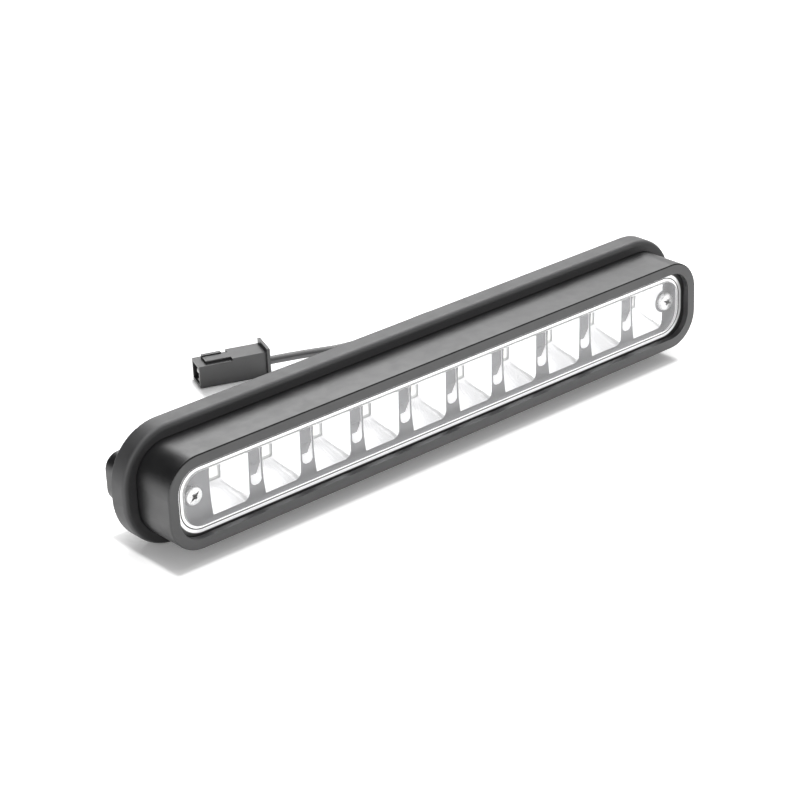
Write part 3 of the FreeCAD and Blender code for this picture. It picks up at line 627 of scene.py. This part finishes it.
material, tree, shader = start_finish("clear_acrylic")
shader.inputs["IOR"].default_value = 1.49
x, y, z = axis_values(tree, position(tree))
depth_away = compute(tree, "ABSOLUTE", compute(tree, "SUBTRACT", y, flange_middle))
flange = compute(tree, "LESS_THAN", depth_away, flange_half)
off_flange = compute(tree, "SUBTRACT", 1.0, flange)
outwards = outside_box(
    tree, x, z, panel_half_length - panel_corner, panel_half_height - panel_corner)
from_line = compute(tree, "SUBTRACT", outwards, panel_corner + line_distance)
from_line = compute(tree, "ABSOLUTE", from_line)
line = ramp_between(tree, from_line, line_width * 1.5, line_width)
line = compute(tree, "MULTIPLY", line, flange)
# Painted reflection and shade on the flange: pale and glowing, with one dark line, dark beside the
# housing's wall and dimmer at the far end.
at_wall = ramp_between(tree, outwards, *wall_shadow)
shade = compute(tree, "MAXIMUM", line, compute(tree, "MULTIPLY", at_wall, flange))
connect(tree, two_colours(tree, shade, white, dark), shader.inputs["Base Color"])
connect(tree, compute(tree, "MULTIPLY", flange, flange_metal), shader.inputs["Metallic"])
far_end = ramp_between(tree, x, far_end_start, far_end_stop, 1.0, far_end_share)
lit = compute(tree, "MULTIPLY", compute(tree, "SUBTRACT", 1.0, at_wall), far_end)
glow = compute(tree, "MULTIPLY", compute(tree, "SUBTRACT", flange, line), flange_glow)
connect(tree, compute(tree, "MULTIPLY", glow, lit), shader.inputs["Emission Strength"])
# Painted highlight: the step round the panel is frosted and nearly opaque white.
flat = compute(tree, "MULTIPLY", facing_front(tree, *panel_slope), off_flange)
clear = compute(tree, "MULTIPLY_ADD", flat, 1.0 - step_clearness, step_clearness)
connect(tree, compute(tree, "MULTIPLY", clear, off_flange), shader.inputs["Transmission Weight"])
haze = ramp_between(tree, noise(tree, 70.0), 0.4, 0.8, 0.0, 0.02)
matt = compute(tree, "MULTIPLY_ADD", flat, -step_roughness, step_roughness)
connect(tree, compute(tree, "MAXIMUM", haze, matt), shader.inputs["Roughness"])
open_air = add_node(tree, "ShaderNodeBsdfTransparent")
rays = add_node(tree, "ShaderNodeLightPath")
refracted = compute(
    tree, "ADD", rays.outputs["Is Camera Ray"], rays.outputs["Is Transmission Ray"], clamp=True)
lens_mix = add_node(tree, "ShaderNodeMixShader")
connect(tree, refracted, lens_mix.inputs["Fac"])
tree.links.new(open_air.outputs[0], lens_mix.inputs[1])
tree.links.new(shader.outputs[0], lens_mix.inputs[2])
tree.links.new(lens_mix.outputs[0], tree.nodes["Material Output"].inputs["Surface"])
finish["lens_clear"] = material

material, tree, shader = start_finish("emitter")
package_white, phosphor_yellow = (0.95, 0.95, 0.95), (0.97, 0.96, 0.88)
package_front = (-0.01078, -0.01088)
emitter_glow = 0.4
y = axis_values(tree, position(tree))[1]
dome = ramp_between(tree, y, *package_front)
dome_colour = two_colours(tree, dome, package_white, phosphor_yellow)
connect(tree, dome_colour, shader.inputs["Base Color"])
shader.inputs["Roughness"].default_value = 0.15
shader.inputs["Emission Color"].default_value = (1.0, 1.0, 0.98, 1)
shader.inputs["Emission Strength"].default_value = emitter_glow
relief(tree, shader, noise(tree, 2500.0), 0.1, 0.00001)
finish["led_package"] = material
print("finishes", len(finish))

# %% [markdown]
# ## Dressing the CAD nodes
# The record names a material slot for every node of the lamp, and the finishes above have the same
# names. So one loop dresses all the nodes and forgets none. The curve of the lead is a new object,
# so it gets its jacket by itself.

# %% Give every CAD node its finish
for part in frame["record"]["subparts"]:
    body = nodes[part["node"]]
    if not body.data.materials:
        body.data.materials.append(None)
    body.material_slots[0].material = finish[part["material_slot"]]
lead_cable.data.materials.append(finish["cable_jacket"])
print("dressed nodes", len(nodes))

# %% [markdown]
# ## Helpers for new pieces
# Each new piece starts as a bmesh, which is a mesh that can be worked on with the same operators
# as in the editor. When it is done it becomes an object with smooth faces and sharp corners, gets
# its finish, and is told which part of the lamp it belongs to.

# %% Piece helpers
def finish_piece(name, mesh, slot_name, *replaced):
    """Makes an object of a finished bmesh, dressed and riding on the lamp."""
    bmesh.ops.remove_doubles(mesh, verts=mesh.verts, dist=1e-6)
    bmesh.ops.recalc_face_normals(mesh, faces=mesh.faces)
    data = bpy.data.meshes.new(name)
    mesh.to_mesh(data)
    mesh.free()
    for face in data.polygons:
        face.use_smooth = True
    data.set_sharp_from_angle(angle=math.radians(32))
    piece = bpy.data.objects.new(name, data)
    bpy.context.scene.collection.objects.link(piece)
    data.materials.append(finish[slot_name])
    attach(piece, "root")
    if replaced:
        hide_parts(*replaced)
    return piece


def chain(mesh, points):
    """A line of new vertices with an edge between each two."""
    verts = [mesh.verts.new(point) for point in points]
    edges = [mesh.edges.new(pair) for pair in zip(verts, verts[1:])]
    return verts + edges


def revolve(mesh, profile, centre, steps=48):
    """Turns an outline of radius and depth round an axis that runs along Y."""
    line = chain(mesh, [(centre[0] + radius, depth, centre[1]) for radius, depth in profile])
    bmesh.ops.spin(
        mesh, geom=line, cent=(centre[0], 0, centre[1]), axis=(0, 1, 0), dvec=(0, 0, 0),
        angle=math.tau, steps=steps, use_merge=True, use_duplicate=False,
    )


print("piece helpers ready")

# %% [markdown]
# ## Studs with real threads
# The two studs at the rear are plain rods in CAD. A thread could be a bump pattern, but its
# outline would stay smooth. A spin with an offset makes the real helix: a short profile of root,
# crest and root turns round the axis and climbs one pitch in each turn.

# %% Threaded studs
thread_pitch = 0.001
thread_root = 0.00245
thread_crest = 0.00298
stud_turns = 15
turn_steps = 24
stud_shoulder = 0.0126
stud_root_radius = 0.0035
core_overlap = 0.00005
tip_bevel = 0.0005
thread_gap = 0.0009
thread_profile = [
    (thread_root, 0.0), (thread_crest, 0.35), (thread_crest, 0.55), (thread_root, 0.9),
]

for label in ("left", "right"):
    low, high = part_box("stud_" + label)
    centre_x = (low.x + high.x) / 2
    core = thread_root + core_overlap
    stud = bmesh.new()
    revolve(stud, [
        (0.0, low.y), (stud_root_radius, low.y), (stud_root_radius, stud_shoulder),
        (core, stud_shoulder), (core, high.y - tip_bevel), (core - tip_bevel, high.y),
        (0.0, high.y),
    ], (centre_x, 0.0))
    bmesh.ops.remove_doubles(stud, verts=stud.verts, dist=1e-6)
    start_y = high.y - thread_gap - thread_pitch * (stud_turns + 1)
    ridge = chain(stud, [
        (centre_x + radius, start_y + share * thread_pitch, 0) for radius, share in thread_profile
    ])
    bmesh.ops.spin(
        stud, geom=ridge, cent=(centre_x, 0, 0), axis=(0, 1, 0),
        dvec=(0, thread_pitch / turn_steps, 0), angle=math.tau * stud_turns,
        steps=turn_steps * stud_turns, use_merge=False, use_duplicate=False,
    )
    finish_piece("threaded_stud_" + label, stud, "stud_steel", "stud_" + label)
print("thread turns", stud_turns)

# %% [markdown]
# ## Pan-head screws
# The CAD screws have two crossed slots. A real cross recess tapers as it goes in, and the head is
# a low dome. A grid of nine squares with its corners taken away is the cross. A ring is bridged to
# it, the rim is extruded in steps to make the dome, and the cross itself is extruded inwards and
# shrunk.

# %% Pan-head screws
flat_share = 0.72
recess_depth = 0.15
recess_taper = 0.62


def pan_head(mesh, seat, outwards, radius, height, reach, turn, shank_radius, tip):
    """One screw: seat is the middle of the head's underside, outwards is +1 or -1 along Y."""
    part = bmesh.new()
    bmesh.ops.create_grid(part, x_segments=3, y_segments=3, size=reach)
    corners = [f for f in part.faces if min(abs(c) for c in f.calc_center_median().xy) > reach / 2]
    bmesh.ops.delete(part, geom=corners, context="FACES")
    cross = part.faces[:]
    bmesh.ops.rotate(part, verts=part.verts, matrix=Matrix.Rotation(turn, 3, "Z"))
    cross_rim = [e for e in part.edges if e.is_boundary]
    ring = bmesh.ops.create_circle(
        part, cap_ends=False, segments=36, radius=radius * flat_share)["verts"]
    edge = [e for e in part.edges if e.verts[0] in ring and e.verts[1] in ring]
    bmesh.ops.bridge_loops(part, edges=cross_rim + edge)
    bmesh.ops.translate(part, verts=part.verts, vec=(0, 0, height))
    shank = shank_radius / radius
    steps = [
        (0.90, -0.10), (0.98, -0.34), (1.0, -0.62), (1.0, -1.0),
        (shank, -1.0), (shank, -1.0 - abs(tip - seat.y) / height),
    ]
    size, level = flat_share, 0.0
    for share, depth in steps:
        grown = bmesh.ops.extrude_edge_only(part, edges=edge)["geom"]
        verts = [g for g in grown if isinstance(g, bmesh.types.BMVert)]
        edge = [g for g in grown if isinstance(g, bmesh.types.BMEdge) and g.is_boundary]
        bmesh.ops.scale(part, verts=verts, vec=(share / size, share / size, 1))
        bmesh.ops.translate(part, verts=verts, vec=(0, 0, (depth - level) * height))
        size, level = share, depth
    bmesh.ops.holes_fill(part, edges=edge)
    sunk = bmesh.ops.extrude_face_region(part, geom=cross)["geom"]
    floor_verts = [g for g in sunk if isinstance(g, bmesh.types.BMVert)]
    bmesh.ops.delete(part, geom=[f for f in cross if f.is_valid], context="FACES_ONLY")
    bmesh.ops.translate(part, verts=floor_verts, vec=(0, 0, -recess_depth * height))
    bmesh.ops.scale(part, verts=floor_verts, vec=(recess_taper, recess_taper, 1))
    tilt = Matrix.Rotation(math.radians(-90 * outwards), 4, "X")
    bmesh.ops.transform(part, matrix=Matrix.Translation(seat) @ tilt, verts=part.verts)
    bmesh.ops.recalc_face_normals(part, faces=part.faces)
    scratch = bpy.data.meshes.new("screw")
    part.to_mesh(scratch)
    part.free()
    mesh.from_mesh(scratch)
    bpy.data.meshes.remove(scratch)


head_radius = 0.004
head_height = 0.0024
head_recess = 0.0014
head_shank = 0.002
for label, turn in (("left", 38.0), ("right", 62.0)):
    low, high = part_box("reflector_screw_" + label)
    middle = (low + high) / 2
    screw = bmesh.new()
    pan_head(screw, Vector((middle.x, low.y + head_height, middle.z)), -1, head_radius, head_height,
             head_recess, math.radians(turn), head_shank, high.y)
    finish_piece("pan_screw_" + label, screw, "screw_steel", "reflector_screw_" + label)

low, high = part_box("lid_screws")
screws = bmesh.new()
lid_head = 0.00225
lid_head_height = 0.0014
lid_recess = 0.00125
lid_shank = 0.00125
spots = [
    (x, z) for x in (low.x + lid_head, high.x - lid_head)
    for z in (low.z + lid_head, high.z - lid_head)
]
for index, (x, z) in enumerate(spots):
    pan_head(screws, Vector((x, high.y - lid_head_height, z)), 1, lid_head, lid_head_height,
             lid_recess, math.radians(20 + 31 * index), lid_shank, low.y)
finish_piece("lid_pan_screws", screws, "screw_steel", "lid_screws")
print("screws", 2 + len(spots))

# %% [markdown]
# ## Clamping nut of the gland
# Fingers turn this nut, so its barrel has ribs. An outline is turned round the axis, and then
# every second pair of the vertices of the barrel is pulled in.

# %% Ribbed gland nut
low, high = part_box("gland_nut")
nut_x = (low.x + high.x) / 2
nut_radius = (high.x - low.x) / 2
barrel_length = 0.0051
barrel_end = low.y + barrel_length
groove_share = 0.945
bore_radius = lead_diameter / 2 + 0.00005
nut_steps = 96

nut = bmesh.new()
revolve(nut, [
    (bore_radius, low.y), (nut_radius * 0.94, low.y), (nut_radius, low.y + 0.0004),
    (nut_radius, barrel_end), (nut_radius * 0.93, barrel_end + 0.0007),
    (nut_radius * 0.80, barrel_end + 0.0022), (nut_radius * 0.69, high.y - 0.0004),
    (nut_radius * 0.62, high.y), (bore_radius, high.y), (bore_radius, low.y),
], (nut_x, 0.0), nut_steps)
bmesh.ops.remove_doubles(nut, verts=nut.verts, dist=1e-6)
grooves = []
for vert in nut.verts:
    turn = math.atan2(vert.co.z, vert.co.x - nut_x) / math.tau * nut_steps
    if round(turn) % 4 < 2 and math.hypot(vert.co.x - nut_x, vert.co.z) > nut_radius * 0.99:
        grooves.append(vert)
bmesh.ops.scale(
    nut, verts=grooves, vec=(groove_share, 1, groove_share),
    space=Matrix.Translation((-nut_x, 0, 0)))
finish_piece("ribbed_gland_nut", nut, "gland_black", "gland_nut")
print("nut radius mm", round(1000 * nut_radius, 2))

# %% [markdown]
# ## Contacts of the connector
# Each contact is a flat tinned strip whose tip is curled down, so that the other half slides on
# easily. The strip is drawn from the side as a line, pulled out to its width, and given its
# thickness. It is modelled along the connector's own axis and then turned to where it lies.

# %% Hooked contacts
connector_corner = Vector((-0.03647, 0.09741, floor_level))
connector_width = 0.0113
contact_width = 0.0028
contact_thickness = 0.0006
contact_tip = 0.0008
contact_root = 0.0233

placing = Matrix.Translation(connector_corner) @ Matrix.Rotation(connector_turn, 4, "Z")
for label, drop in (("lower", 0.0005), ("upper", 0.0016)):
    low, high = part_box("connector_blade_" + label)
    level = (low.z + high.z) / 2 - floor_level
    near = (connector_width - contact_width) / 2
    contact = bmesh.new()
    line = chain(contact, [
        (contact_root, near, level), (contact_tip + 0.0009, near, level),
        (contact_tip + 0.0004, near, level - 0.0001), (contact_tip + 0.0001, near, level - 0.0004),
        (contact_tip, near, level - drop),
    ])
    grown = bmesh.ops.extrude_edge_only(contact, edges=line[5:])["geom"]
    moved = [g for g in grown if isinstance(g, bmesh.types.BMVert)]
    bmesh.ops.translate(contact, verts=moved, vec=(0, contact_width, 0))
    bmesh.ops.solidify(contact, geom=contact.faces[:], thickness=contact_thickness)
    bmesh.ops.transform(contact, matrix=placing, verts=contact.verts)
    finish_piece("hooked_contact_" + label, contact, "contact_tin", "connector_blade_" + label)
print("contacts 2")

# %% [markdown]
# ## Pieces at the end of the lead
# A real lead isn't a rigid rod, and whoever uses the lamp may lay it in another way. Here the
# connector's shell, its insert and the two hooked contacts are only gathered in a list.

with_lead = [nodes["connector_shell"], nodes["connector_insert"]]
with_lead += [bpy.data.objects["hooked_contact_lower"], bpy.data.objects["hooked_contact_upper"]]

# %% [markdown]
# ## Size of the CAD model
# This prints the size of the CAD model, as measured before it was dressed.

# %% Size of the CAD model
print("cad mm", [round(1000 * v, 2) for v in (*cad_low, *cad_high)])
